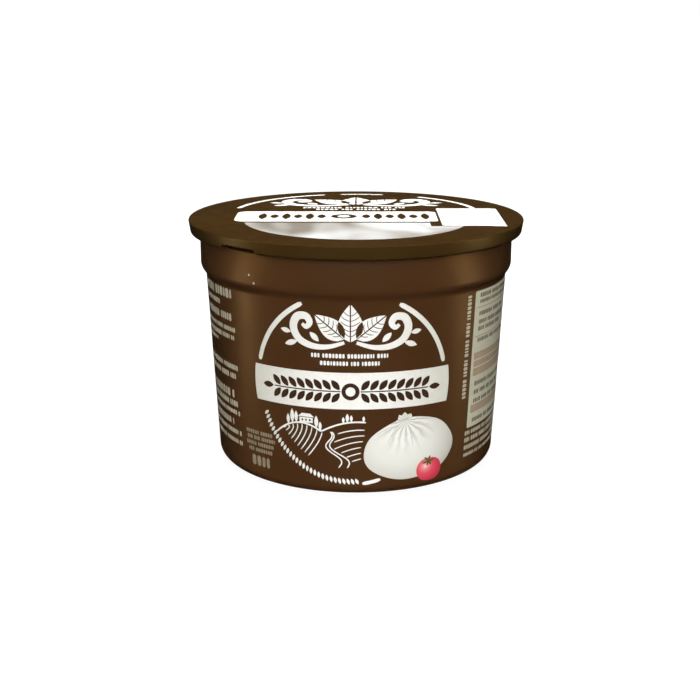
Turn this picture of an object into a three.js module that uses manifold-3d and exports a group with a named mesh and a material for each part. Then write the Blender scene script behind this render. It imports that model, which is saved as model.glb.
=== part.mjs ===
// A shut plastic tub for a ball of fresh cheese in brine: a tapered pot with a
// collar below its rim, and a press-on lid whose skirt clips over that rim.
// Millimetres, +Z up. The origin is the centre of the ring that the tub stands
// on, and the front of the tub faces -Y.
import * as THREE from "three";
import { mergeVertices } from "three/addons/utils/BufferGeometryUtils.js";
import Module from "manifold-3d";

// ---- driving dimensions ----------------------------------------------------
const lidRadius = 49; // at the widest, the shoulder of the lid
const tubHeight = 72; // floor to the lid's flat panel
const skirtBottom = 67.7; // lower edge of the lid's skirt
const collarRadius = 45.8; // upright band of the pot under the skirt
const collarBottom = 58.7; // where the collar starts to step in to the wall
const wallTopRadius = 44.3; // tapered wall, just under the collar
const wallTopHeight = 56.1;
const wallBottomRadius = 41.7; // tapered wall, just above the bottom edge
const bottomEdge = 3; // radius of the rounding at the bottom
const clearance = 0.35; // between the pot's rim and the lid round it

// the pot's bottom
const standWidth = 2.4; // flat ring that the tub stands on
const recessDepth = 1.2; // how far the bottom panel is set up inside the ring
const recessSlope = 0.9;
const gateRadius = 1.5; // small stub left where the plastic was let in
const gateLength = 0.5;

// the pot's rim, which the lid covers
const rimRadius = 47.4;
const rimChamfer = 0.35;
const neckRadius = 44; // groove under the rim, seen only through the lifting notch
const neckBottom = 67.5;
const lidWall = 0.9; // thickness of the lid's panel and skirt
const lidLipRadius = 46; // inner edge of the lip that clips under the rim

// the lid's top and skirt
const panelRadius = 41.5; // flat panel; a ring outside it falls gently away
const ringFall = 0.3;
const shoulderRadius = 0.5;
const skirtTaper = 0.55; // how far the skirt draws in from the shoulder down
const skirtCorner = 0.8;

// the lifting notch: a shallow cut in the skirt's lower edge, front left
const notchLength = 13;
const notchHeight = 1.55;
const notchReach = 45; // the cut runs in to this radius, through the clip lip
const notchAzimuth = -41; // degrees round from the front, negative to the left

const facets = 128; // round the tub

const wasm = await Module();
wasm.setup();

// ---- helpers ---------------------------------------------------------------

// Points of an arc in the profile plane (radius, height), angles in degrees.
function arc(centreR, centreZ, radius, from, to, steps) {
  const points = [];
  for (let i = 0; i <= steps; i++) {
    const a = THREE.MathUtils.degToRad(from + ((to - from) * i) / steps);
    points.push([centreR + radius * Math.cos(a), centreZ + radius * Math.sin(a)]);
  }
  return points;
}

// A body of revolution about +Z from its profile, listed from the axis below,
// up the outside and back to the axis.
function turned(profile) {
  const points = profile.map(([r, z]) => new THREE.Vector2(r, z));
  return new THREE.LatheGeometry(points, facets).rotateX(Math.PI / 2);
}

// A closed geometry as a solid that can be cut.
function solidOf(geometry) {
  const bare = geometry.clone();
  bare.deleteAttribute("normal");
  bare.deleteAttribute("uv");
  const merged = mergeVertices(bare, 1e-4);
  const corners = merged.index.array;
  const faces = [];
  for (let i = 0; i < corners.length; i += 3) {
    const [a, b, c] = [corners[i], corners[i + 1], corners[i + 2]];
    if (a !== b && b !== c && c !== a) faces.push(a, b, c);
  }
  const mesh = new wasm.Mesh({
    numProp: 3,
    vertProperties: merged.attributes.position.array,
    triVerts: new Uint32Array(faces),
  });
  return new wasm.Manifold(mesh);
}

// A cut solid back as a geometry.
function geometryOf(solid) {
  const mesh = solid.getMesh();
  const geometry = new THREE.BufferGeometry();
  geometry.setAttribute("position", new THREE.BufferAttribute(mesh.vertProperties, 3));
  geometry.setIndex(new THREE.BufferAttribute(mesh.triVerts, 1));
  geometry.computeVertexNormals();
  return geometry;
}

function part(name, geometry, look) {
  const mesh = new THREE.Mesh(geometry, new THREE.MeshStandardMaterial(look));
  mesh.name = name;
  return mesh;
}

// ---- the pot ---------------------------------------------------------------

// Closed and full, so it is solid from its bottom panel up to its rim.
function potProfile() {
  const standOuter = wallBottomRadius - bottomEdge;
  const standInner = standOuter - standWidth;
  const rimUnderside = skirtBottom + lidWall + clearance;
  const rimTop = tubHeight - lidWall - clearance;
  return [
    [0, recessDepth - gateLength],
    [gateRadius * 0.8, recessDepth - gateLength],
    [gateRadius, recessDepth],
    [standInner - recessSlope, recessDepth],
    [standInner, 0],
    ...arc(standOuter, bottomEdge, bottomEdge, -90, 0, 6),
    [wallTopRadius, wallTopHeight],
    // the collar's underside, a shallow S from the wall out to the collar
    [wallTopRadius + 0.18, wallTopHeight + 0.6],
    [collarRadius - 0.28, collarBottom - 0.65],
    [collarRadius, collarBottom],
    [collarRadius, neckBottom],
    [neckRadius, neckBottom + 0.3],
    [neckRadius, rimUnderside],
    [rimRadius, rimUnderside],
    [rimRadius, rimTop - rimChamfer],
    [rimRadius - rimChamfer, rimTop],
    [0, rimTop],
  ];
}

function makePot() {
  const look = { color: 0x46290f, roughness: 0.4, metalness: 0 };
  return part("tub", turned(potProfile()), look);
}

// ---- the lid ---------------------------------------------------------------

function lidProfile() {
  const panelUnderside = tubHeight - lidWall;
  const lipTop = skirtBottom + lidWall;
  const innerRadius = rimRadius + clearance;
  const shoulderR = lidRadius - shoulderRadius;
  const shoulderZ = tubHeight - ringFall - shoulderRadius;
  const skirtLowR = lidRadius - skirtTaper;
  return [
    // inside, from the axis out and down round the pot's rim to the clip lip
    [0, panelUnderside],
    [innerRadius - rimChamfer, panelUnderside],
    [innerRadius, panelUnderside - rimChamfer],
    [innerRadius, lipTop],
    [lidLipRadius, lipTop],
    [lidLipRadius, skirtBottom],
    // outside, up the skirt and over the shoulder to the panel
    ...arc(skirtLowR - skirtCorner, skirtBottom + skirtCorner, skirtCorner, -90, 0, 4),
    ...arc(shoulderR, shoulderZ, shoulderRadius, 0, 86, 5),
    [(panelRadius + shoulderR) / 2, tubHeight - ringFall * 0.4],
    [panelRadius, tubHeight],
    [0, tubHeight],
  ];
}

// The notch's cutter: a low slot with round upper corners, run inwards
// through the skirt's outer face.
function notchCutter() {
  const half = notchLength / 2;
  const below = 0.5; // the cutter starts this far under the skirt
  const corner = notchHeight * 0.8;
  const outline = new THREE.Shape();
  outline.moveTo(-half, -below);
  outline.lineTo(half, -below);
  outline.lineTo(half, notchHeight - corner);
  outline.absarc(half - corner, notchHeight - corner, corner, 0, Math.PI / 2, false);
  outline.absarc(-half + corner, notchHeight - corner, corner, Math.PI / 2, Math.PI, false);
  outline.lineTo(-half, -below);
  const past = 2; // and runs out this far beyond the shoulder
  const slot = new THREE.ExtrudeGeometry(outline, {
    depth: lidRadius + past - notchReach,
    bevelEnabled: false,
    curveSegments: 5,
  });
  // stood up to face the front, then turned round to its place on the skirt
  slot.rotateX(Math.PI / 2);
  slot.translate(0, -notchReach, skirtBottom);
  slot.rotateZ(THREE.MathUtils.degToRad(notchAzimuth));
  return slot;
}

function makeLid() {
  const look = { color: 0x4a3412, roughness: 0.42, metalness: 0 };
  const cut = solidOf(turned(lidProfile())).subtract(solidOf(notchCutter()));
  return part("lid", geometryOf(cut), look);
}

// ---- the whole -------------------------------------------------------------

const tub = new THREE.Group();
tub.add(makePot(), makeLid());

export default tub;
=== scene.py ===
import math
import random

import bpy
from mathutils import Matrix, Quaternion, Vector


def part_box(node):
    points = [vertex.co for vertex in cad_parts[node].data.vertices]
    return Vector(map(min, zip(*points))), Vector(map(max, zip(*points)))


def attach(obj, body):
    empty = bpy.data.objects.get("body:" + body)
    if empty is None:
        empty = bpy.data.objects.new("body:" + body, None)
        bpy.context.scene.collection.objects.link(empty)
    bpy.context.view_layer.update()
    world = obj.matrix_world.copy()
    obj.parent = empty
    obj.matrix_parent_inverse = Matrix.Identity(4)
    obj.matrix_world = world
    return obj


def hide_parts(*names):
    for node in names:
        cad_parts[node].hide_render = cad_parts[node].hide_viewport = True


# A shut brown tub of burrata with a press-on lid. The pot and the lid are drawn
# as round bodies, and the print is drawn flat, as on a label proof, and then
# laid on the wall or on the lid. Pieces are drawn in millimetres and set down
# in metres, with +Z up and the printed front facing -Y.

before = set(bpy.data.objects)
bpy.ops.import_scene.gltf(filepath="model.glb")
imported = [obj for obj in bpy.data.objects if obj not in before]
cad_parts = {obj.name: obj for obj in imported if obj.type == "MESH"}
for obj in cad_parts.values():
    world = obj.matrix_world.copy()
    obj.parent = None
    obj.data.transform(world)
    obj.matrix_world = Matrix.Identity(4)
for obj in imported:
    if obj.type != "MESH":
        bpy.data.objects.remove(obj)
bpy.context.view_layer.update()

# ---- sizes, in millimetres ----

MM = 0.001
lid_low, lid_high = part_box("lid")
_, pot_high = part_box("tub")

LID_RADIUS = lid_high.x / MM
LID_TOP = lid_high.z / MM
SKIRT_BOTTOM = lid_low.z / MM
LID_WALL = 0.9
LIP_RADIUS = 46.0
CLIP_GAP = 0.35
RIM_RADIUS = pot_high.x / MM
RIM_TOP = pot_high.z / MM
RIM_UNDERSIDE = SKIRT_BOTTOM + LID_WALL + CLIP_GAP

PANEL_RADIUS = 41.5  # flat part of the lid's top
RING_MIDDLE = 44.7  # the sloping ring outside it turns down here
RING_MIDDLE_FALL = 0.12
RING_FALL = 0.3
SHOULDER = 0.5
SKIRT_TAPER = 0.55
SKIRT_CORNER = 0.8
NOTCH_LENGTH, NOTCH_HEIGHT, NOTCH_REACH = 13.0, 1.55, 45.0  # the cut runs in to this radius
NOTCH_AZIMUTH = -41.0  # degrees round from the front, negative to the left

NECK_RADIUS, NECK_BOTTOM = 44.0, 67.5  # groove under the rim, behind the lifting notch
COLLAR_RADIUS = 45.8
COLLAR_BOTTOM = 58.3
WALL_TOP_RADIUS, WALL_TOP = 44.3, 56.2
WALL_LOW_RADIUS, WALL_LOW = 41.7, 3.0  # the bottom edge is rounded below this
STAND_INNER, STAND_SLOPE, RECESS = 36.3, 0.9, 1.2
GATE_RADIUS, GATE_LENGTH = 1.5, 0.5
SIDES = 240  # round each round body
DISC_INSET = 0.2
BODY_SMOOTHING, PRINT_SMOOTHING = 35, 30  # degrees between faces that shade as one surface

INK = 0.03  # thickness of one printed layer
BEDDING = 0.02  # how far print reaches into the plastic below it
LABEL_BEND = 43.0  # wall radius at which the flat print keeps its width
SCORE = 1.0  # spacing of the upright cuts that let flat print bend

# the badge on the front, in paper millimetres: x round the wall, y its height
BADGE_X, BADGE_Y, BADGE_RADIUS = -1.4, 30.9, 27.4
BAND_LOW, BAND_HIGH, BAND_RADIUS = 25.7, 36.2, 28.8


# ---- handling pieces ----

def pick_up(*pieces):
    """Leaves only these pieces selected, the first of them active."""
    bpy.ops.object.select_all(action="DESELECT")
    for piece in pieces:
        piece.select_set(True)
    bpy.context.view_layer.objects.active = pieces[0]


def open_mesh(piece, everything=True):
    """Starts editing a piece with all of it or none of it selected."""
    pick_up(piece)
    bpy.ops.object.mode_set(mode="EDIT")
    bpy.ops.mesh.select_all(action="SELECT" if everything else "DESELECT")


def close_mesh():
    bpy.ops.object.mode_set(mode="OBJECT")


def choose(piece, kind, wanted):
    """Opens the piece with only those of its edges or faces selected that are wanted."""
    open_mesh(piece, everything=False)
    bpy.ops.mesh.select_mode(type=kind)
    close_mesh()
    for element in piece.data.edges if kind == "EDGE" else piece.data.polygons:
        element.select = wanted(element)
    bpy.ops.object.mode_set(mode="EDIT")


def join(pieces, name):
    """Makes these pieces one, under this name."""
    pick_up(*pieces)
    bpy.ops.object.join()
    piece = bpy.context.object
    piece.name = piece.data.name = name
    return piece


def tidy_surface(piece):
    """Merges doubles, turns the faces outwards and shades the rounded parts smooth."""
    open_mesh(piece)
    bpy.ops.mesh.remove_doubles(threshold=0.0005)
    bpy.ops.mesh.normals_make_consistent(inside=False)
    close_mesh()
    bpy.ops.object.shade_smooth_by_angle(angle=math.radians(BODY_SMOOTHING))


def set_down(piece, material):
    """Gives a finished piece its material and ties it to the tub."""
    piece.data.materials.clear()
    piece.data.materials.append(material)
    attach(piece, "root")


# ---- round bodies ----

def turn(name, rings):
    """Draws a round body ring by ring: each ring is (radius, height, rounding, segments)."""
    bpy.ops.object.select_all(action="DESELECT")
    radius, height = rings[0][:2]
    bpy.ops.mesh.primitive_circle_add(vertices=SIDES, radius=radius, location=(0, 0, height))
    piece = bpy.context.object
    piece.name = piece.data.name = name
    bpy.ops.object.transform_apply(location=True, rotation=False, scale=False)
    bpy.ops.object.mode_set(mode="EDIT")
    bpy.ops.mesh.select_all(action="SELECT")
    for next_radius, next_height, *_ in rings[1:]:
        rise = (0, 0, next_height - height)
        bpy.ops.mesh.extrude_edges_move(TRANSFORM_OT_translate={"value": rise})
        spread = next_radius / radius
        bpy.ops.transform.resize(value=(spread, spread, 1), center_override=(0, 0, next_height))
        radius, height = next_radius, next_height
    bpy.ops.mesh.edge_face_add()
    close_mesh()
    select_ring(piece, *rings[0][:2])
    bpy.ops.mesh.edge_face_add()
    close_mesh()
    for ring_radius, ring_height, *finish in rings:
        if finish:
            rounding, segments = finish
            select_ring(piece, ring_radius, ring_height)
            bpy.ops.mesh.bevel(offset=rounding, segments=segments, affect="EDGES")
            close_mesh()
    return piece


def select_ring(piece, radius, height):
    """Opens the piece with only the ring of edges at this radius and height selected."""
    def on_ring(index):
        point = piece.data.vertices[index].co
        return abs(point.z - height) < 0.004 and abs(math.hypot(point.x, point.y) - radius) < 0.004

    choose(piece, "EDGE", lambda edge: all(map(on_ring, edge.vertices)))


def inset_discs(piece):
    """Insets the big flat discs, so that the rounding beside them shades cleanly."""
    choose(piece, "FACE", lambda face: len(face.vertices) >= SIDES)
    bpy.ops.mesh.inset(thickness=DISC_INSET, use_individual=True)
    close_mesh()


def to_metres(piece):
    piece.data.transform(Matrix.Scale(MM, 4))


def wall_radius(height):
    """The pot's radius at this height of its tapered wall."""
    t = (height - WALL_LOW) / (WALL_TOP - WALL_LOW)
    return WALL_LOW_RADIUS + t * (WALL_TOP_RADIUS - WALL_LOW_RADIUS)


def make_pot(material):
    """The pot, from the stub under its bottom panel up to the rim that the lid covers."""
    rings = [
        (GATE_RADIUS * 0.8, RECESS - GATE_LENGTH, 0.15, 2),
        (GATE_RADIUS, RECESS, 0.15, 2),
        (STAND_INNER - STAND_SLOPE, RECESS, 0.5, 4),
        (STAND_INNER, 0, 0.3, 3),
        (wall_radius(0), 0, WALL_LOW, 12),
        (WALL_TOP_RADIUS, WALL_TOP, 0.7, 5),
        (COLLAR_RADIUS, COLLAR_BOTTOM, 0.9, 6),
        (COLLAR_RADIUS, NECK_BOTTOM, 0.15, 2),
        (NECK_RADIUS, NECK_BOTTOM + 0.3, 0.2, 2),
        (NECK_RADIUS, RIM_UNDERSIDE, 0.2, 2),
        (RIM_RADIUS, RIM_UNDERSIDE, 0.2, 2),
        (RIM_RADIUS, RIM_TOP, 0.35, 3),
    ]
    pot = turn("pot", rings)
    inset_discs(pot)
    tidy_surface(pot)
    to_metres(pot)
    set_down(pot, material)
    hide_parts("tub")


def make_lid(material):
    """The lid, from its underside down round the rim, and up the skirt to the flat panel."""
    inner = RIM_RADIUS + CLIP_GAP
    underside = LID_TOP - LID_WALL
    lip_top = SKIRT_BOTTOM + LID_WALL
    rings = [
        (inner, underside, 0.3, 3),
        (inner, lip_top, 0.1, 2),
        (LIP_RADIUS, lip_top, 0.1, 2),
        (LIP_RADIUS, SKIRT_BOTTOM, 0.25, 3),
        (LID_RADIUS - SKIRT_TAPER, SKIRT_BOTTOM, SKIRT_CORNER, 6),
        (LID_RADIUS, LID_TOP - RING_FALL - SHOULDER, SHOULDER * 0.3, 4),
        (LID_RADIUS, LID_TOP - RING_FALL, SHOULDER * 0.68, 8),
        (RING_MIDDLE, LID_TOP - RING_MIDDLE_FALL, 1.2, 4),
        (PANEL_RADIUS, LID_TOP, 1.2, 4),
    ]
    lid = turn("press_on_lid", rings)
    inset_discs(lid)
    tidy_surface(lid)
    cut_lifting_notch(lid)
    tidy_surface(lid)
    to_metres(lid)
    set_down(lid, material)
    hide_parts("lid")


def cut_lifting_notch(lid):
    """Takes a shallow slot out of the skirt's lower edge, at the front left."""
    below, depth = 0.6, 4.0  # the cutter starts under the skirt and ends beyond the shoulder
    turned = math.radians(NOTCH_AZIMUTH)
    middle = NOTCH_REACH + depth / 2
    height = SKIRT_BOTTOM + (NOTCH_HEIGHT - below) / 2
    place = (middle * math.sin(turned), -middle * math.cos(turned), height)
    bpy.ops.object.select_all(action="DESELECT")
    bpy.ops.mesh.primitive_cube_add(size=1, location=place, rotation=(0, 0, turned),
                                    scale=(NOTCH_LENGTH, depth, NOTCH_HEIGHT + below))
    cutter = bpy.context.object
    bpy.ops.object.transform_apply(location=False, rotation=False, scale=True)

    def upper_long_edge(edge):
        a, b = (cutter.data.vertices[i].co for i in edge.vertices)
        return abs(a.y - b.y) > 1 and a.z > 0

    choose(cutter, "EDGE", upper_long_edge)
    bpy.ops.mesh.bevel(offset=NOTCH_HEIGHT * 0.8, segments=5, affect="EDGES")
    close_mesh()
    pick_up(lid)
    cut = lid.modifiers.new("lifting_notch", "BOOLEAN")
    cut.operation = "DIFFERENCE"
    cut.solver = "EXACT"
    cut.object = cutter
    bpy.ops.object.modifier_apply(modifier=cut.name)
    bpy.data.objects.remove(cutter)


# ---- the paper that the print is drawn on ----

def arc(x, y, radius, start, end, spacing=0.9):
    """Points of an arc on the paper, angles in degrees from the right, counter-clockwise."""
    steps = max(3, math.ceil(abs(math.radians(end - start)) * radius / spacing))
    angles = (math.radians(start + (end - start) * i / steps) for i in range(steps + 1))
    return [(x + radius * math.cos(a), y + radius * math.sin(a)) for a in angles]


def bow(start, bend, end, steps):
    """A curve from start to end, pulled towards the point called bend."""
    points = []
    for i in range(steps + 1):
        t = i / steps
        weights = ((1 - t) ** 2, 2 * t * (1 - t), t ** 2)
        points.append(tuple(sum(w * p[k] for w, p in zip(weights, (start, bend, end))) for k in (0, 1)))
    return points


def flowing(knots):
    """A smooth curve through all the knots."""
    steps = 8
    points = []
    padded = [knots[0], *knots, knots[-1]]
    for a, b, c, d in zip(padded, padded[1:], padded[2:], padded[3:]):
        for i in range(steps):
            t = i / steps
            points.append(tuple(
                0.5 * (2 * b[k] + (c[k] - a[k]) * t + (2 * a[k] - 5 * b[k] + 4 * c[k] - d[k]) * t ** 2
                       + (3 * b[k] - a[k] - 3 * c[k] + d[k]) * t ** 3)
                for k in (0, 1)))
    points.append(tuple(knots[-1]))
    return points


def swept(stem, angle, along, across):
    """The point `along` a line that leaves stem at this angle, and `across` it to the left."""
    a = math.radians(angle)
    return (stem[0] + along * math.cos(a) - across * math.sin(a),
            stem[1] + along * math.sin(a) + across * math.cos(a))


def leaf_half(stem, angle, length, width, side, gap, fullness):
    """The outline of one half of a leaf, beside its midrib; side is 1 or -1."""
    steps = 12
    edge = []
    for i in range(steps + 1):
        t = i / steps
        swell = math.sin(math.pi * t ** fullness) ** 0.9
        edge.append(swept(stem, angle, t * length, side * (gap + width / 2 * swell)))
    rib = [swept(stem, angle, length * 0.96, side * gap), swept(stem, angle, length * 0.02, side * gap)]
    return edge + rib


def leaf(stem, angle, length, width, **shape):
    """A broad leaf as two outlines, with its midrib left open between them."""
    return [leaf_half(stem, angle, length, width, side, **shape) for side in (1, -1)]


def whole_leaf(stem, angle, length, width):
    """A small leaf without a midrib, as one outline."""
    steps = 8

    def edge(side, places):
        swell = side * width / 2
        return [swept(stem, angle, length * i / steps, swell * math.sin(math.pi * i / steps) ** 0.8)
                for i in places]

    return edge(1, range(steps + 1)) + edge(-1, range(steps - 1, 0, -1))


def new_curve(name, flat):
    """An empty drawing, flat for filled shapes or not for pen lines, and its curve."""
    bpy.ops.object.select_all(action="DESELECT")
    bpy.ops.object.add(type="CURVE")
    piece = bpy.context.object
    piece.name = piece.data.name = name
    piece.data.dimensions = "2D" if flat else "3D"
    return piece, piece.data


def pen_lines(name, strokes, layer=1):
    """Pen strokes on the paper, each (points, width), or (points, width, thin) for a stroke
    that swells from a thin start to its width and back."""
    piece, curve = new_curve(name, flat=False)
    curve.bevel_depth = 0.5
    curve.bevel_resolution = 1
    curve.use_fill_caps = True
    for points, width, *thin in strokes:
        spline = curve.splines.new("POLY")
        last = len(points) - 1
        spline.points.add(last)
        for i, (x, y) in enumerate(points):
            ends = thin[0] if thin else width * 0.6
            swell = math.sin(math.pi * i / last) if thin else float(0 < i < last)
            spline.points[i].co = (x, y, 0, 1)
            spline.points[i].radius = ends + (width - ends) * swell
    pick_up(piece)
    bpy.ops.object.convert(target="MESH")
    piece = bpy.context.object
    flatten(piece, max(stroke[1] for stroke in strokes) / 2, layer)
    return piece


def flatten(piece, half_height, layer):
    """Presses a drawn line down to the thickness of ink."""
    for point in piece.data.vertices:
        height = max(-1, min(1, point.co.z / half_height * 1.6))
        point.co.z = height * INK * layer if height > 0 else height * BEDDING


def cut_shapes(name, outlines, layer=1):
    """Filled shapes on the paper, each from its closed outline; shapes inside others are holes."""
    piece, curve = new_curve(name, flat=True)
    curve.fill_mode = "BOTH"
    curve.extrude = 0.5
    for outline in outlines:
        spline = curve.splines.new("POLY")
        spline.points.add(len(outline) - 1)
        for point, (x, y) in zip(spline.points, outline):
            point.co = (x, y, 0, 1)
        spline.use_cyclic_u = True
    pick_up(piece)
    bpy.ops.object.convert(target="MESH")
    piece = bpy.context.object
    for point in piece.data.vertices:
        point.co.z = INK * layer if point.co.z > 0 else -BEDDING
    open_mesh(piece)
    bpy.ops.mesh.remove_doubles(threshold=0.001)
    bpy.ops.mesh.normals_make_consistent(inside=False)
    close_mesh()
    return piece


def bar_outline(left, right, low, high, rounding, steps=3):
    """A bar with round corners."""
    r = min(rounding, (high - low) / 2, (right - left) / 2)
    corners = ((right - r, low + r, -90), (right - r, high - r, 0),
               (left + r, high - r, 90), (left + r, low + r, 180))
    outline = []
    for x, y, start in corners:
        turns = (math.radians(start + 90 * i / steps) for i in range(steps + 1))
        outline += [(x + r * math.cos(a), y + r * math.sin(a)) for a in turns]
    return outline


def block_row(left, right, middle, height):
    """A row of little blocks in groups."""
    chance = random.Random(round(left * 7 + middle * 131))
    low, high = middle - height / 2, middle + height / 2
    row = []
    x = left
    while x < right - height * 0.5:
        for _ in range(chance.randint(3, 9)):
            end = x + height * chance.choice((0.34, 0.46, 0.58))
            if end > right:
                break
            row.append(bar_outline(x, end, low, high, height * 0.15, 1))
            x = end + height * 0.18
        x += height * 0.42
    return row


def score(piece, step=SCORE, crosswise=False):
    """Cuts straight lines through a flat piece, so that it can follow what it is laid on."""
    for axis, normal in ((0, (1, 0, 0)), (1, (0, 1, 0)))[:2 if crosswise else 1]:
        reach = [point.co[axis] for point in piece.data.vertices]
        open_mesh(piece)
        at = math.ceil(min(reach) / step) * step
        while at < max(reach):
            bpy.ops.mesh.select_all(action="SELECT")
            bpy.ops.mesh.bisect(plane_co=[at * n for n in normal], plane_no=normal)
            at += step
        close_mesh()


def lay_down(piece, put):
    """Moves each point of a flat drawing to its place on the tub, put(x, y, lift), and notes where
    it was on the paper, for finishes that follow the drawing."""
    paper = piece.data.attributes.new("paper", "FLOAT_VECTOR", "POINT")
    for point, entry in zip(piece.data.vertices, paper.data):
        x, y, lift = point.co
        entry.vector = (x, y, 0)
        point.co = put(x, y, lift)
    open_mesh(piece)
    bpy.ops.mesh.normals_make_consistent(inside=False)
    close_mesh()
    bpy.ops.object.shade_smooth_by_angle(angle=math.radians(PRINT_SMOOTHING))
    to_metres(piece)
    return piece


def lay_on_wall(piece, radius_at=wall_radius):
    """Bends a flat drawing round the pot: x runs round the wall and y up it."""
    def put(x, y, lift):
        angle, radius = x / LABEL_BEND, radius_at(y) + lift
        return radius * math.sin(angle), -radius * math.cos(angle), y

    score(piece)
    return lay_down(piece, put)


def lid_fall(radius):
    """How far the lid's top lies below its flat panel, at this radius."""
    if radius < PANEL_RADIUS:
        return 0
    if radius < RING_MIDDLE:
        return RING_MIDDLE_FALL * (radius - PANEL_RADIUS) / (RING_MIDDLE - PANEL_RADIUS)
    t = (radius - RING_MIDDLE) / (LID_RADIUS - RING_MIDDLE)
    return RING_MIDDLE_FALL + (RING_FALL - RING_MIDDLE_FALL) * t


def lay_on_lid(piece):
    """Sets a flat drawing on the lid's top, which falls away a little at its edge."""
    return lay_down(piece, lambda x, y, lift: (x, y, LID_TOP - lid_fall(math.hypot(x, y)) + lift))


# ---- finishes ----

def paint(*screen_colour):
    """A colour given as it looks on screen, 0 to 255, in the renderer's own units."""
    def straight(value):
        value /= 255
        return value / 12.92 if value <= 0.04045 else ((value + 0.055) / 1.055) ** 2.4
    return (*map(straight, screen_colour), 1)


PLASTIC_SPECULAR = 0.45
INK_ROUGHNESS, INK_SPECULAR = 0.45, 0.2
# the painted shade on the badge's white sets in at the first distance and is full at the second
BADGE_PAINTED_SHADE_START, BADGE_PAINTED_SHADE_END = 4.0, 32.0  # from the badge's middle


class Shading:
    """A tree of shader nodes, and the few ways in which it is built up."""

    def __init__(self, owner):
        owner.use_nodes = True
        self.nodes = owner.node_tree.nodes
        self.links = owner.node_tree.links

    def feed(self, node, inputs):
        """Gives a node's inputs plain values or other nodes' outputs."""
        for name, value in dict(inputs).items():
            if isinstance(value, bpy.types.NodeSocket):
                self.links.new(value, node.inputs[name])
            else:
                node.inputs[name].default_value = value

    def node(self, kind, inputs=(), **settings):
        """A new node, set up and fed."""
        node = self.nodes.new(kind)
        for key, value in settings.items():
            setattr(node, key, value)
        self.feed(node, inputs)
        return node

    def maths(self, kind, *values):
        return self.node("ShaderNodeMath", enumerate(values), operation=kind).outputs[0]

    def parts(self, vector):
        """The three numbers of a vector."""
        return self.node("ShaderNodeSeparateXYZ", {0: vector}).outputs

    def between(self, value, low, high, start, end, way="LINEAR"):
        """A number that goes from start to end while the value goes from low to high."""
        inputs = {"Value": value, "From Min": low, "From Max": high, "To Min": start, "To Max": end}
        return self.node("ShaderNodeMapRange", inputs, interpolation_type=way).outputs["Result"]


class Finish(Shading):
    """A material under construction: its shader and the patterns that feed it."""

    def __init__(self, name, roughness, specular, tint=(1, 1, 1, 1)):
        self.material = bpy.data.materials.new(name)
        super().__init__(self.material)
        self.shader = self.nodes["Principled BSDF"]
        self.feed(self.shader, {"Roughness": roughness, "Specular IOR Level": specular,
                                "Specular Tint": tint})

    def place(self, size=(1, 1, 1), centre=(0, 0, 0), paper=False):
        """Coordinates in millimetres: of the object, or of the paper it was drawn on."""
        if paper:
            source, unit = self.node("ShaderNodeAttribute", attribute_name="paper").outputs["Vector"], 1
        else:
            source, unit = self.node("ShaderNodeTexCoord").outputs["Object"], MM
        inputs = {"Vector": source, "Scale": [s / unit for s in size],
                  "Location": [-c * s for c, s in zip(centre, size)]}
        return self.node("ShaderNodeMapping", inputs, vector_type="POINT").outputs["Vector"]

    def noise(self, place, scale, detail=3, roughness=0.5, distortion=0):
        inputs = {"Vector": place, "Scale": scale, "Detail": detail, "Roughness": roughness,
                  "Distortion": distortion}
        return self.node("ShaderNodeTexNoise", inputs).outputs["Fac"]

    def nearness(self, place):
        """1 at the centre of these coordinates, falling evenly to 0 at a distance of 1."""
        ball = self.node("ShaderNodeTexGradient", {"Vector": place}, gradient_type="SPHERICAL")
        return ball.outputs["Fac"]

    def ramp(self, value, stops):
        """Colours along a value, each stop (position, red, green, blue)."""
        ramp = self.node("ShaderNodeValToRGB", {"Fac": value})
        elements = ramp.color_ramp.elements
        while len(elements) < len(stops):
            elements.new(0.5)
        for element, (position, *colour) in zip(elements, stops):
            element.position = position
            element.color = paint(*colour)
        return ramp.outputs["Color"]

    def multiplied(self, amount, under, over):
        """The colour under, multiplied by the colour over as far as the amount says."""
        inputs = {0: amount, 6: under, 7: over}
        return self.node("ShaderNodeMix", inputs, data_type="RGBA", blend_type="MULTIPLY").outputs[2]

    def colour(self, value):
        self.feed(self.shader, {"Base Color": value})

    def dull(self, pattern, low, high):
        """Roughness that a noise pattern varies between low and high."""
        self.feed(self.shader, {"Roughness": self.between(pattern, 0.3, 0.7, low, high)})

    def relief(self, pattern, depth):
        """Small bumps, depth in millimetres."""
        bump = self.node("ShaderNodeBump", {"Strength": 0.5, "Distance": depth * MM, "Height": pattern})
        self.feed(self.shader, {"Normal": bump.outputs["Normal"]})


def moulded_plastic(name, main, deep, roughness, tint):
    """Semi-gloss moulded plastic with a faint orange peel and slow drifts of colour."""
    finish = Finish(name, roughness, PLASTIC_SPECULAR, tint)
    place = finish.place()
    drift = finish.noise(place, 0.045, detail=2)
    finish.colour(finish.ramp(drift, [(0.35, *deep), (0.65, *main)]))
    finish.dull(finish.noise(place, 0.2, detail=4), roughness - 0.04, roughness + 0.05)
    finish.relief(finish.noise(place, 1.4, detail=2), 0.012)
    return finish.material


def mottled(finish, main, thin):
    """The light mottle of a printed field."""
    mottle = finish.noise(finish.place(), 0.9, detail=5, roughness=0.65)
    return finish.ramp(mottle, [(0.32, *thin), (0.6, *main)])


def printing_ink(name, main, thin):
    """Opaque ink, here and there a little more or less dull."""
    finish = Finish(name, INK_ROUGHNESS, INK_SPECULAR)
    finish.colour(mottled(finish, main, thin))
    finish.dull(finish.noise(finish.place(), 0.5), INK_ROUGHNESS - 0.05, INK_ROUGHNESS + 0.05)
    return finish.material


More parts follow.
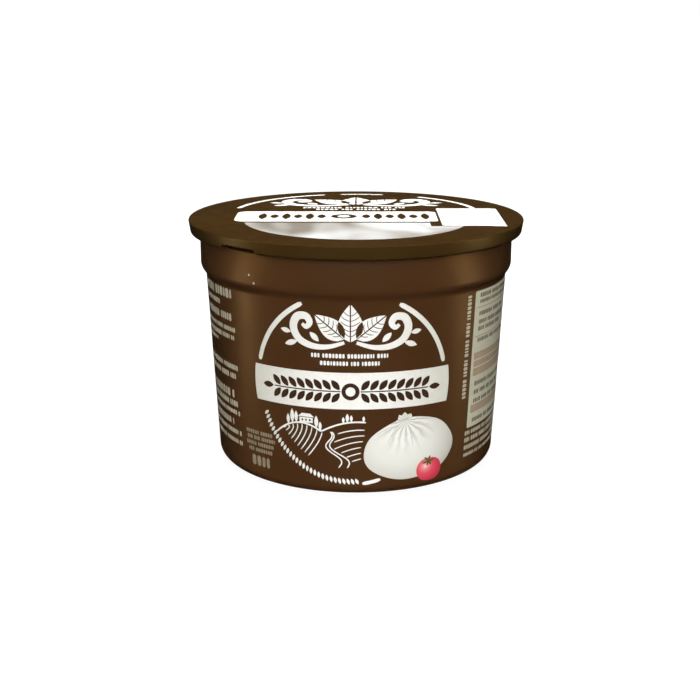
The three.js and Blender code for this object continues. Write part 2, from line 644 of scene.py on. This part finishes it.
def badge_white_ink_with_painted_shade(main, thin, sides):
    """The white of the badge, with painted shade: full white at its middle, greying towards its left and
    right ends.
    """
    finish = Finish("badge_white_ink_with_painted_shade", INK_ROUGHNESS, INK_SPECULAR)
    body = mottled(finish, main, thin)
    across, _, _ = finish.parts(finish.place(centre=(BADGE_X, 0, 0), paper=True))
    away = finish.maths("ABSOLUTE", across)
    # painted shade: the white turns towards the shaded colour at the badge's left and right ends
    painted_side_shade = finish.between(away, BADGE_PAINTED_SHADE_START, BADGE_PAINTED_SHADE_END, 0, 1, "SMOOTHSTEP")
    finish.colour(finish.multiplied(painted_side_shade, body, paint(*sides)))
    return finish.material


def burrata_picture_ink():
    """The printed ball: soft light from the upper left, and pleats that spread from the knot and fade."""
    finish = Finish("burrata_picture_ink", INK_ROUGHNESS, INK_SPECULAR)
    ball = finish.place(size=(1 / 20, 1 / 15, 1), centre=(BALL_X - 2.5, BALL_Y + 2.5, 0), paper=True)
    shade = finish.ramp(finish.nearness(ball), [
        (0.0, 178, 174, 164), (0.12, 198, 195, 186), (0.3, 220, 219, 211),
        (0.55, 238, 238, 231), (1.0, 250, 250, 245)])
    from_knot = finish.place(centre=(KNOT_X, KNOT_Y, 0), paper=True)
    across, up, _ = finish.parts(from_knot)
    sway = finish.noise(finish.place(size=(0.25, 0.25, 1), paper=True), 1.0, detail=2)
    turn = finish.maths("ADD", finish.maths("ARCTAN2", up, across), finish.maths("MULTIPLY", sway, 0.5))
    wave = finish.maths("SINE", finish.maths("MULTIPLY", turn, 17.0))
    reach = finish.node("ShaderNodeVectorMath", {0: from_knot}, operation="LENGTH").outputs["Value"]
    fade = finish.between(reach, 1.0, 12.0, 0.5, 0.0, "SMOOTHSTEP")
    pleats = finish.maths("ADD", finish.maths("MULTIPLY", wave, fade), 0.5)
    creases = finish.ramp(pleats, [
        (0.0, 206, 202, 193), (0.3, 236, 234, 228), (0.5, 250, 249, 246), (0.8, 255, 255, 254)])
    finish.colour(finish.multiplied(1.0, shade, creases))
    return finish.material


def lid_picture_ink():
    """The printed close-up on the lid: broad white folds of cheese with grey hollows."""
    finish = Finish("lid_picture_ink", INK_ROUGHNESS, INK_SPECULAR)
    place = finish.place(size=(-0.045, 0.03, 1), centre=(-5, -24, 0), paper=True)
    swell = finish.noise(place, 1.0, detail=2, roughness=0.4, distortion=0.7)
    folds = finish.ramp(swell, [
        (0.36, 136, 128, 118), (0.44, 168, 163, 155), (0.52, 193, 192, 188),
        (0.6, 211, 212, 210), (0.72, 224, 226, 225)])
    finish.colour(folds)
    return finish.material


def tomato_ink():
    """The printed tomato: red, with a soft highlight at its upper left."""
    finish = Finish("tomato_ink", 0.4, 0.4)
    ball = finish.place(size=(1 / 6.4, 1 / 5.6, 1), centre=(TOMATO_X - 1.3, TOMATO_Y + 1.0, 0), paper=True)
    finish.colour(finish.ramp(finish.nearness(ball), [
        (0.0, 176, 44, 62), (0.3, 208, 58, 80), (0.62, 228, 84, 100),
        (0.84, 240, 142, 144), (1.0, 252, 222, 216)]))
    return finish.material


# ---- the print on the wall ----

TOMATO_X, TOMATO_Y, TOMATO_WIDE, TOMATO_HIGH = 22.0, 6.2, 4.1, 3.6
BALL_X, BALL_Y, BALL_WIDE, BALL_HIGH = 16.2, 13.2, 13.6, 9.4
KNOT_X, KNOT_Y = BALL_X - 2.2, BALL_Y + BALL_HIGH - 0.6
ROAD_FOOT, ROAD_RISE, ROAD_EASE = 8.4, 10.6, 0.85


def badge_arc(start, end, radius=BADGE_RADIUS):
    return arc(BADGE_X, BADGE_Y, radius, start, end)


def on_badge(angle, radius):
    """The point at this angle and distance from the badge's middle."""
    a = math.radians(angle)
    return BADGE_X + radius * math.cos(a), BADGE_Y + radius * math.sin(a)


def draw_band():
    """The white band across the badge, its ends rounded to the badge's ring."""
    low = math.degrees(math.asin((BAND_LOW - BADGE_Y) / BAND_RADIUS))
    high = math.degrees(math.asin((BAND_HIGH - BADGE_Y) / BAND_RADIUS))
    right = badge_arc(low, high, BAND_RADIUS)
    left = badge_arc(180 - high, 180 - low, BAND_RADIUS)
    return cut_shapes("front_band", [right + left])


def draw_badge_ring():
    """The broken ring round the badge, the same on both sides."""
    arcs = [(118, 166, 1.35), (14, 62, 1.35), (-83, -72, 1.1)]
    return pen_lines("badge_ring", [(badge_arc(start, end), width) for start, end, width in arcs])


SPRIG_LEAVES = [(90, 0.6, 10.3, 6.4), (40, 2.2, 9.9, 5.3), (140, 2.2, 9.9, 5.3)]


def sprig_leaves(x, y, size):
    """Three broad leaves from one point: (foot, angle, length, width) of each."""
    return [(swept((x, y), angle, out * size, 0), angle, length * size, width * size)
            for angle, out, length, width in SPRIG_LEAVES]


def draw_leaf_veins(name, x, y, size, places):
    """Side veins in the ground colour, over the white leaves, at these places along each leaf."""
    strokes = []
    for foot, angle, length, width in sprig_leaves(x, y, size):
        for t in places:
            for side in (1, -1):
                out = side * width * 0.4 * math.sin(math.pi * (t + 0.06)) ** 0.8
                start = swept(foot, angle, length * t, 0)
                bend = swept(foot, angle, length * (t + 0.02), out * 0.55)
                end = swept(foot, angle, length * (t + 0.13), out)
                strokes.append((bow(start, bend, end, 4), 0.26 * size))
    return pen_lines(name, strokes, layer=2)


SCROLL = [(1.6, 0.4), (6.0, -0.9), (10.4, -0.8), (14.0, 1.0), (15.4, 4.2),
          (14.3, 7.0), (11.9, 7.4), (10.8, 5.7), (11.8, 4.4), (12.9, 5.2)]
SCROLL_LEAVES = [(8.4, 0.5, 46, 3.5, 1.6), (16.2, 2.6, 12, 3.0, 1.4), (14.4, 0.2, -18, 3.8, 1.6)]


def draw_sprig(name, x, y, size, pen):
    """Three leaves between two scrolls of this pen width, the same on both sides."""
    outlines = []
    for foot, angle, length, width in sprig_leaves(x, y, size):
        outlines += leaf(foot, angle, length, width, gap=0.17 * size, fullness=0.75)
    for way in (1, -1):
        for out, up, angle, length, width in SCROLL_LEAVES:
            foot = (x + way * out * size, y + up * size)
            turned = angle if way == 1 else 180 - angle
            outlines.append(whole_leaf(foot, turned, length * size, width * size))
    leaves = cut_shapes(name, outlines)
    scrolls = []
    for way in (1, -1):
        route = flowing([(x + way * out * size, y + up * size) for out, up in SCROLL])
        scrolls.append((route, pen, pen * 0.4))
    return join([leaves, pen_lines("scrolls", scrolls)], name)


def garland(left, right, middle, height):
    """A stem with paired leaves that point away from a round berry at its middle."""
    centre = (left + right) / 2
    berry = height * 0.46
    outlines = [arc(centre, middle, berry, 0, 360, 0.35)[:-1],
                arc(centre, middle, berry * 0.55, 0, 360, 0.3)[:-1]]
    pitch = height * 0.46
    count = int(((right - left) / 2 - berry - height * 0.5) / pitch)
    for way in (1, -1):
        ahead = 90 * (1 - way)
        near, far = centre + way * (berry + 0.25), centre + way * (berry + pitch * count)
        outlines.append(bar_outline(min(near, far), max(near, far), middle - 0.16, middle + 0.16, 0.1))
        for i in range(count):
            foot = centre + way * (berry + pitch * (i + 0.2))
            for side in (1, -1):
                stem, angle = (foot, middle + side * 0.4), ahead + way * side * 52
                outlines.append(whole_leaf(stem, angle, height * 0.68, height * 0.33))
        outlines.append(whole_leaf((far + way * 0.3, middle), ahead, height * 0.66, height * 0.33))
    return outlines


def leaf_frieze(left, right, middle, height):
    """A row of upright leaves, tall and short by turns, with a ring at its middle."""
    centre = (left + right) / 2
    ring = height * 0.36
    pitch = height * 0.33
    outlines = [arc(centre, middle, ring, 0, 360, 0.35)[:-1],
                arc(centre, middle, ring * 0.5, 0, 360, 0.3)[:-1]]
    for way in (1, -1):
        for i in range(int(((right - left) / 2 - ring) / pitch)):
            tall = height * (0.66, 1.0)[i % 2]
            foot = (centre + way * (ring + pitch * (i + 0.8)), middle - tall / 2)
            outlines.append(whole_leaf(foot, 90, tall, height * 0.24))
    return outlines


def draw_twisted_border():
    """A rope of slanted strokes that follows the badge's lower left side."""
    first, last, count, radius = 198.0, 273.0, 29, 25.7
    outlines = []
    for i in range(count):
        here = first + (last - first) * i / (count - 1)
        outlines.append(whole_leaf(on_badge(here, radius), here + 24, 1.95, 0.85))
    return cut_shapes("twisted_border", outlines)


def ridge(x):
    """The height of the two hills' skyline at this place on the paper."""
    left = 21.0 - 0.062 * (x + 15.5) ** 2
    right = 22.0 - 0.030 * (x - 0.5) ** 2
    return max(left, right)


def road_at(t):
    """Middle and half width of the road, from the foreground (0) up to the saddle (1)."""
    sway = 2.9 * (1 - t) ** 0.7 * math.sin(2 * math.pi * (1.15 * t + 0.1))
    return -6.9 + 1.6 * (1 - t) + sway, ROAD_FOOT + ROAD_RISE * t ** ROAD_EASE, 0.22 + 1.0 * (1 - t) ** 1.4


def draw_countryside_lines():
    """Line drawing of hills with their fields, and a road that winds up between them."""
    skyline = [(-23.4 + 0.75 * i, ridge(-23.4 + 0.75 * i)) for i in range(38)]
    strokes = [([point for point in skyline if point[0] < 3.4], 0.5)]
    bends = [road_at(i / 30) for i in range(31)]
    for side in (-1, 1):
        strokes.append(([(x + side * half, y) for x, y, half in bends], 0.38))
    furrows = 9
    for i in range(furrows):
        t = i / (furrows - 1)
        x = -21.0 + 11.6 * t
        end = on_badge(211 + 27 * t, 22.9)
        bend = ((x + end[0]) / 2 + 1.6, (ridge(x) + end[1]) / 2 + 0.6)
        strokes.append((bow((x, ridge(x) - 0.4), bend, end, 10), 0.32))
    across = [-6 + 0.5 * j for j in range(18)]
    for i in range(1, 7):
        row = [(x, ridge(x) - 0.6 - 1.75 * i + 0.05 * i * (x - 0.5)) for x in across]
        strokes.append(([point for point in row if beside_road(point)], 0.32))
    return pen_lines("countryside_lines", strokes)


def beside_road(point):
    """Whether this point lies between the road and the burrata, above the rope."""
    x, y = point
    t = max(0, min(1, (y - ROAD_FOOT) / ROAD_RISE)) ** (1 / ROAD_EASE)
    middle, _, half = road_at(t)
    to_ball = math.hypot((x - BALL_X) / (BALL_WIDE + 0.9), (y - BALL_Y) / (BALL_HIGH + 0.9))
    return x > middle + half + 0.7 and to_ball > 1 and math.hypot(x - BADGE_X, y - BADGE_Y) < 23.0


def draw_countryside_shapes():
    """The farmhouse and the cypresses, as filled shapes."""
    trees = [(-19.4, 3.0), (-18.1, 4.1), (-16.9, 3.3), (-11.0, 3.6), (-9.9, 2.6),
             (-3.4, 1.8), (-2.3, 2.6), (-1.2, 2.0), (2.2, 1.7)]
    outlines = [whole_leaf((x, ridge(x) + 0.1), 90, height, 0.4 + height * 0.2) for x, height in trees]
    left, right = -15.9, -12.0
    foot = ridge((left + right) / 2) + 0.3
    eaves, top = foot + 1.5, foot + 2.7
    outlines.append([(left, foot), (right, foot), (right, eaves), (left, eaves)])
    outlines.append([(left - 0.4, eaves + 0.2), (right + 0.4, eaves + 0.2),
                     (right - 0.7, top), (left + 0.7, top)])
    for x in (left + 0.6, left + 1.7, left + 2.8):
        outlines.append([(x, foot + 0.5), (x + 0.5, foot + 0.5), (x + 0.5, foot + 1.1), (x, foot + 1.1)])
    return cut_shapes("countryside_shapes", outlines)


def draw_burrata():
    """The burrata in the picture: a soft round purse with its knot on top."""
    outline = []
    steps = 80
    for i in range(steps):
        a = math.radians(i * 360 / steps)
        sag = 1 + 0.03 * math.cos(2 * a - 0.6) - 0.025 * math.sin(3 * a) + 0.008 * math.cos(7 * a)
        outline.append((BALL_X + BALL_WIDE * sag * math.cos(a), BALL_Y + BALL_HIGH * sag * math.sin(a)))
    return cut_shapes("burrata_picture", [outline])


def draw_burrata_knot():
    """The gathered top of the purse: a few soft lobes from one point."""
    foot = (KNOT_X, KNOT_Y - 1.8)
    lobes = [(146, 3.2, 1.9), (120, 3.9, 2.2), (94, 4.1, 2.4), (66, 3.9, 2.3), (38, 3.3, 1.9)]
    pieces = [cut_shapes("lobe", [whole_leaf(foot, angle, length, width)], layer=2)
              for angle, length, width in lobes]
    return join(pieces, "burrata_knot")


def draw_burrata_folds():
    """Grey pleats that run down from the knot and fade out."""
    pleats = [(-8.6, -4.2, -5.0), (-5.4, -7.6, -3.2), (-1.6, -6.2, -0.8),
              (2.8, -9.4, 1.4), (6.4, -6.4, 3.4), (10.2, -6.0, 6.4)]
    strokes = []
    for across, down, bulge in pleats:
        start = (KNOT_X + across * 0.14, KNOT_Y - 1.2)
        route = bow(start, (KNOT_X + bulge, KNOT_Y - 1.6), (KNOT_X + across, KNOT_Y + down), 12)
        strokes.append((route, 0.36, 0.08))
    return pen_lines("burrata_folds", strokes, layer=2)


def draw_specks():
    """Two pale flecks on the collar, at the left."""
    return cut_shapes("collar_specks", [arc(x, y, radius, 0, 360, 0.2)[:-1]
                                        for x, y, radius in ((-29.2, 61.4, 0.26), (-27.6, 59.3, 0.34))])


def draw_tomato():
    """The tomato in front of the burrata, a little flattened."""
    outline = [(TOMATO_X + TOMATO_WIDE * x, TOMATO_Y + TOMATO_HIGH * y * (1 - 0.05 * math.cos(x * 3)))
               for x, y in arc(0, 0, 1, 0, 360, 0.13)[:-1]]
    return cut_shapes("tomato_picture", [outline], layer=3)


def draw_tomato_leaves():
    """Six narrow sepals from one point."""
    crown = (TOMATO_X - 0.3, TOMATO_Y + TOMATO_HIGH - 1.2)
    leaves = [(12, 2.0), (72, 1.7), (135, 1.9), (190, 2.1), (250, 1.4), (310, 1.5)]
    pieces = [cut_shapes("sepal", [whole_leaf(crown, angle, length, 0.62)], layer=4)
              for angle, length in leaves]
    return join(pieces, "tomato_leaves")


def draw_rows(name, rows, layer=1):
    """Rows of little blocks, each (middle height, block height, left end, right end)."""
    outlines = []
    for middle, height, left, right in rows:
        outlines += block_row(left, right, middle, height)
    return cut_shapes(name, outlines, layer)


LEFT_ROWS = [(54.1, 2.7, -66, -38.3), (50.8, 1.6, -65, -44.1), (47.3, 2.2, -67, -38.4),
             (43.8, 1.4, -69, -37.9), (41.4, 1.4, -68, -38.1), (39.2, 1.1, -62, -48.5),
             (32.6, 1.6, -69, -37.7), (29.9, 1.7, -68, -37.9), (24.4, 2.4, -65, -40.3),
             (21.5, 1.8, -68, -38.0), (18.8, 1.4, -67, -37.9), (15.7, 2.0, -64, -41.5),
             (12.8, 1.5, -68, -37.6), (9.9, 1.4, -67, -37.8)]
LOW_LEFT_ROWS = [(15.2, 1.2, -35.4, -24.4), (13.5, 1.2, -35.0, -24.2), (11.7, 1.2, -35.5, -24.6),
                 (9.9, 1.2, -34.6, -25.0), (6.6, 3.2, -33.4, -25.9)]
LOW_ROWS = [(13.7, 1.3, 35.6, 69), (11.6, 1.4, 35.6, 68), (9.3, 1.4, 35.6, 70), (7.0, 1.1, 35.6, 61)]
PANEL_ROWS = [(54.0, 1.3, 38.6, 62), (52.2, 1.1, 38.6, 66), (48.7, 1.3, 38.6, 55), (46.3, 1.3, 38.6, 57),
              (44.3, 1.3, 38.6, 53), (41.0, 1.3, 38.6, 59), (28.1, 1.4, 38.6, 58), (25.5, 1.4, 38.6, 56),
              (22.9, 1.3, 38.6, 60), (17.1, 1.3, 38.6, 64)]
BACK_ROWS = [(54.0 - 2.6 * i, 1.4 + 0.8 * (i % 5 == 0), -124 + 1.5 * (i % 3), -80 - 2.0 * (i * 7 % 4))
             for i in range(17)]
BACK_RIGHT_ROWS = [(53.0 - 2.9 * i, 1.5 + 0.8 * (i % 4 == 0), 79, 118 - 2.5 * (i * 5 % 4))
                   for i in range(9)]
FRONT_ROWS = [(40.9, 1.25, -12.0, 9.2), (38.8, 1.25, -9.6, 6.8)]
LID_ROWS = [(12.2, 2.0, -16, 16), (8.8, 2.0, -12, 12)]

SIDE_LINE_X, SIDE_LINE_LOW, SIDE_LINE_HIGH, SIDE_LINE_WIDE = 33.9, 24.7, 55.3, 1.6
PANEL_LEFT, PANEL_RIGHT, PANEL_LOW, PANEL_HIGH = 36.3, 70.0, 15.2, 55.4


def draw_side_line():
    """One row of little blocks that runs up the wall beside the panel."""
    flat = block_row(SIDE_LINE_LOW, SIDE_LINE_HIGH, 0, SIDE_LINE_WIDE)
    return cut_shapes("side_line", [[(SIDE_LINE_X - y, x) for x, y in outline] for outline in flat])


def draw_facts_panel():
    """The pale panel at the right, which runs round to the side."""
    return cut_shapes("facts_panel", [bar_outline(PANEL_LEFT, PANEL_RIGHT, PANEL_LOW, PANEL_HIGH, 0.4)])


def draw_panel_tints():
    """The darker fields behind some rows of the pale panel, and its thin rules."""
    left, right = PANEL_LEFT + 1.1, PANEL_RIGHT - 0.8
    outlines = [bar_outline(left, right, low, high, 0.1)
                for low, high in ((35.4, 37.4), (33.2, 35.0), (30.5, 32.8), (19.4, 21.8))]
    outlines += [bar_outline(left, right, y, y + 0.28, 0.1) for y in (50.4, 42.0)]
    return cut_shapes("panel_tints", outlines, layer=2)


# ---- the print on the lid ----

LID_RING_Y, LID_RING_RADIUS = 3.5, 36.4
LID_BAR_LEFT, LID_BAR_LOW, LID_BAR_HIGH = -35.0, -12.9, 4.8
LID_PICTURE_Y, LID_PICTURE_RADIUS, LID_PICTURE_TOP = -8.7, 32.2, -14.8
DATE_LEFT, DATE_RIGHT, DATE_LOW, DATE_HIGH = 24.2, 42.2, -19.8, 10.3


def draw_lid_bar():
    """The white bar across the lid, which runs under the date field."""
    return cut_shapes("lid_bar", [bar_outline(LID_BAR_LEFT, DATE_LEFT, LID_BAR_LOW, LID_BAR_HIGH, 3.2, 6)])


def draw_lid_ring():
    """The broken ring behind the bar."""
    arcs = [(106, 168, 1.5), (12, 57, 1.5), (76, 98, 1.3)]
    return pen_lines("lid_ring", [(arc(0, LID_RING_Y, LID_RING_RADIUS, start, end), width)
                                  for start, end, width in arcs])


def draw_lid_picture():
    """A half round picture of the cheese, in front of the bar."""
    edge = math.degrees(math.asin((LID_PICTURE_Y - LID_PICTURE_TOP) / LID_PICTURE_RADIUS))
    outline = arc(0, LID_PICTURE_Y, LID_PICTURE_RADIUS, 180 + edge, 360 - edge)
    return cut_shapes("lid_picture", [outline])


def draw_date_field():
    """The plain white field at the right end of the bar."""
    outline = bar_outline(DATE_LEFT, DATE_RIGHT, DATE_LOW, DATE_HIGH, 0.3)
    field = cut_shapes("date_field", [outline], layer=3)
    score(field, step=0.8, crosswise=True)
    return field


def draw_date_border():
    """The thin border under the date field, and the corner it takes out of the bar and the picture."""
    margin, corner = 0.7, 3.2
    low = DATE_LOW - margin
    border = bar_outline(DATE_LEFT - margin, DATE_RIGHT + margin, low, DATE_HIGH + margin, 0.3)
    patch = bar_outline(DATE_LEFT - corner, DATE_LEFT - margin - 0.01, low, LID_BAR_LOW + 0.2, 0.2)
    sheet = cut_shapes("date_border", [border, patch], layer=2)
    score(sheet, step=0.8, crosswise=True)
    return sheet


# ---- putting it together ----

pot_plastic = moulded_plastic("pot_plastic", (75, 48, 26), (72, 46, 25), 0.35, (1, 0.62, 0.3, 1))
lid_plastic = moulded_plastic("lid_plastic", (65, 46, 19), (61, 42, 18), 0.36, (1, 0.72, 0.3, 1))
white_ink = printing_ink("white_ink", (248, 246, 240), (241, 239, 232))
# the third colour is the painted shade that the badge's white takes on at its left and right ends
badge_ink = badge_white_ink_with_painted_shade((249, 247, 241), (242, 240, 233), (224, 224, 215))
cream_ink = printing_ink("cream_ink", (194, 186, 163), (179, 171, 147))
dim_cream_ink = printing_ink("dim_cream_ink", (152, 139, 114), (137, 125, 100))
panel_print_ink = printing_ink("panel_print_ink", (112, 101, 82), (126, 116, 96))
brown_ink = printing_ink("brown_ink", (62, 40, 23), (57, 36, 21))
lid_brown_ink = printing_ink("lid_brown_ink", (65, 47, 21), (61, 43, 20))
panel_ink = printing_ink("panel_ink", (206, 204, 180), (197, 194, 170))
tint_ink = printing_ink("tint_ink", (176, 156, 132), (168, 147, 122))
fold_ink = printing_ink("fold_ink", (206, 202, 193), (214, 211, 203))
leaf_ink = printing_ink("leaf_ink", (92, 98, 50), (74, 82, 40))
burrata_ink = burrata_picture_ink()
close_up_ink = lid_picture_ink()
red_ink = tomato_ink()

make_pot(pot_plastic)
make_lid(lid_plastic)

SPRIG_FOOT = (BADGE_X, 44.3)
GARLAND = (-26.0, 23.2, 30.8, 5.3)  # left end, right end, middle height, height
on_the_wall = [
    (draw_band(), badge_ink),
    (draw_badge_ring(), badge_ink),
    (draw_sprig("front_sprig", *SPRIG_FOOT, 1.0, 2.2), badge_ink),
    (draw_leaf_veins("front_leaf_veins", *SPRIG_FOOT, 1.0, (0.14, 0.28, 0.42, 0.56, 0.7)), brown_ink),
    (draw_rows("front_rows", FRONT_ROWS), white_ink),
    (cut_shapes("band_garland", garland(*GARLAND), layer=2), brown_ink),
    (draw_twisted_border(), badge_ink),
    (draw_countryside_lines(), badge_ink),
    (draw_countryside_shapes(), badge_ink),
    (draw_burrata(), burrata_ink),
    (draw_burrata_knot(), burrata_ink),
    (draw_burrata_folds(), fold_ink),
    (draw_tomato(), red_ink),
    (draw_tomato_leaves(), leaf_ink),
    (draw_rows("left_rows", LEFT_ROWS), cream_ink),
    (draw_rows("low_left_rows", LOW_LEFT_ROWS), dim_cream_ink),
    (draw_rows("low_rows", LOW_ROWS), cream_ink),
    (draw_side_line(), cream_ink),
    (draw_facts_panel(), panel_ink),
    (draw_panel_tints(), tint_ink),
    (draw_rows("panel_rows", PANEL_ROWS, layer=2), panel_print_ink),
    (draw_rows("back_rows", BACK_ROWS + BACK_RIGHT_ROWS), cream_ink),
]
for piece, ink in on_the_wall:
    set_down(lay_on_wall(piece), ink)
set_down(lay_on_wall(draw_specks(), lambda height: COLLAR_RADIUS), cream_ink)

LID_SPRIG_FOOT = (0, 17.4)
FRIEZE = (-29.0, 22.0, -4.0, 10.4)
on_the_lid = [
    (draw_lid_bar(), white_ink),
    (cut_shapes("lid_frieze", leaf_frieze(*FRIEZE), layer=2), lid_brown_ink),
    (draw_lid_ring(), white_ink),
    (draw_sprig("lid_sprig", *LID_SPRIG_FOOT, 1.4, 3.4), white_ink),
    (draw_leaf_veins("lid_leaf_veins", *LID_SPRIG_FOOT, 1.4, (0.22, 0.44, 0.66)), lid_brown_ink),
    (draw_rows("lid_rows", LID_ROWS), white_ink),
    (draw_lid_picture(), close_up_ink),
    (draw_date_border(), lid_brown_ink),
    (draw_date_field(), white_ink),
]
for piece, ink in on_the_lid:
    set_down(lay_on_lid(piece), ink)


# ---- floor, light and camera ----

FLOOR_REACH = 260  # where the floor is plain white, in millimetres from the tub's axis
FLOOR_GREY, FLOOR_GLOW_NEAR, FLOOR_GLOW_FAR = 0.18, 0.88, 1.0

# the broad light: how high in front it stands, how narrow and how strong it is
FRONT_ELEVATION, FRONT_FOCUS, FRONT_STRENGTH = 20.0, 22.0, 12.6
EVEN_STRENGTH = 0.2
EVEN_FADE_LOW, EVEN_FADE_HIGH = -0.3, 0.1  # heights between which the even light sets in
SHEEN_COLOUR, SHEEN_STRENGTH = (1, 0.7, 0.35, 1), 0.02

# lamps and camera in metres, with watts and degrees
TOP_PLACE, TOP_AIM, TOP_SIZE, TOP_WATTS = (0, 0.03, 0.40), (0, 0, 0.07), (0.2, 0.2), 1.42
BACK_PLACE, BACK_AIM, BACK_SIZE, BACK_WATTS = (0, 0.40, 0.16), (0, 0, 0.05), (0.3, 0.2), 0.9
STRIP_AZIMUTH, STRIP_DISTANCE, STRIP_HEIGHT, STRIP_LEAN = 82.5, 0.5, -0.01, 32.0
STRIP_SIZE, STRIP_WATTS, STRIP_COLOUR = (0.11, 0.34), 0.42, (1, 0.8, 0.45)
CAMERA_PLACE, CAMERA_AIM, CAMERA_LENS = (0, -0.353, 0.130), (-0.00175, 0, 0.0304), 62.02


def pale_floor():
    """A white floor that takes a soft shadow close to the tub and is plain white further out."""
    bpy.ops.object.select_all(action="DESELECT")
    bpy.ops.mesh.primitive_plane_add(size=40)
    floor = bpy.context.object
    floor.name = "floor"
    finish = Finish("pale_floor", 0.9, 0)
    near = finish.nearness(finish.place(size=(1 / FLOOR_REACH,) * 3))
    finish.feed(finish.shader, {
        "Base Color": (FLOOR_GREY, FLOOR_GREY, FLOOR_GREY, 1), "Emission Color": (1, 1, 1, 1),
        "Emission Strength": finish.between(near, 0, 1, FLOOR_GLOW_FAR, FLOOR_GLOW_NEAR)})
    floor.data.materials.append(finish.material)
    floor.visible_diffuse = False
    floor.visible_glossy = False
    floor.visible_shadow = False


def studio_surround():
    """White behind the tub. Matt surfaces feel a broad soft light from above the front and an even
    one that fades out towards the ground; glossy ones reflect next to nothing."""
    world = bpy.data.worlds.new("studio")
    bpy.context.scene.world = world
    studio = Shading(world)
    direction = studio.node("ShaderNodeTexCoord").outputs["Generated"]
    elevation = math.radians(FRONT_ELEVATION)
    front = (0, -math.cos(elevation), math.sin(elevation))
    facing = studio.node("ShaderNodeVectorMath", {0: direction, 1: front}, operation="DOT_PRODUCT")
    lobe = studio.maths("POWER", studio.maths("MAXIMUM", facing.outputs["Value"], 0.0), FRONT_FOCUS)
    _, _, up = studio.parts(direction)
    even = studio.between(up, EVEN_FADE_LOW, EVEN_FADE_HIGH, 0, EVEN_STRENGTH)
    matt_light = studio.maths("ADD", studio.maths("MULTIPLY", lobe, FRONT_STRENGTH), even)

    white = (1, 1, 1, 1)
    shown = studio.nodes["Background"]
    studio.feed(shown, {"Color": (0, 0, 0, 1)})
    path = studio.node("ShaderNodeLightPath")
    for ray, colour, strength in (("Is Diffuse Ray", white, matt_light),
                                  ("Is Glossy Ray", SHEEN_COLOUR, SHEEN_STRENGTH),
                                  ("Is Camera Ray", white, 1)):
        felt = studio.node("ShaderNodeBackground", {"Color": colour, "Strength": strength})
        layers = {0: path.outputs[ray], 1: shown.outputs[0], 2: felt.outputs[0]}
        shown = studio.node("ShaderNodeMixShader", layers)
    studio.feed(studio.nodes["World Output"], {"Surface": shown.outputs[0]})


def soft_light(name, place, aim, size, watts, colour=(1, 1, 1), lean=0, in_gloss=False):
    """A lamp that only lights matt surfaces or, in gloss, is only reflected."""
    bpy.ops.object.light_add(type="AREA", location=place)
    lamp = bpy.context.object
    lamp.name = name
    facing = (Vector(aim) - Vector(place)).to_track_quat("-Z", "Y")
    lamp.rotation_euler = (facing @ Quaternion((0, 0, 1), math.radians(lean))).to_euler()
    lamp.data.shape = "RECTANGLE"
    lamp.data.size, lamp.data.size_y = size
    lamp.data.energy = watts
    lamp.data.color = colour
    lamp.visible_camera = False
    lamp.visible_diffuse = not in_gloss
    lamp.visible_glossy = in_gloss


pale_floor()
studio_surround()
soft_light("top_light", TOP_PLACE, TOP_AIM, TOP_SIZE, TOP_WATTS)
soft_light("back_light", BACK_PLACE, BACK_AIM, BACK_SIZE, BACK_WATTS)
for side in (-1, 1):
    turned = math.radians(side * STRIP_AZIMUTH)
    place = (STRIP_DISTANCE * math.sin(turned), -STRIP_DISTANCE * math.cos(turned), STRIP_HEIGHT)
    soft_light("side_strip", place, (0, 0, STRIP_HEIGHT), STRIP_SIZE, STRIP_WATTS, STRIP_COLOUR,
               side * STRIP_LEAN, in_gloss=True)

bpy.ops.object.camera_add(location=CAMERA_PLACE)
camera = bpy.context.object
camera.rotation_euler = (Vector(CAMERA_AIM) - camera.location).to_track_quat("-Z", "Y").to_euler()
camera.data.lens = CAMERA_LENS
camera.data.sensor_width = 36
camera.data.clip_start = 0.01
bpy.context.scene.camera = camera
bpy.context.scene.view_settings.view_transform = "Standard"
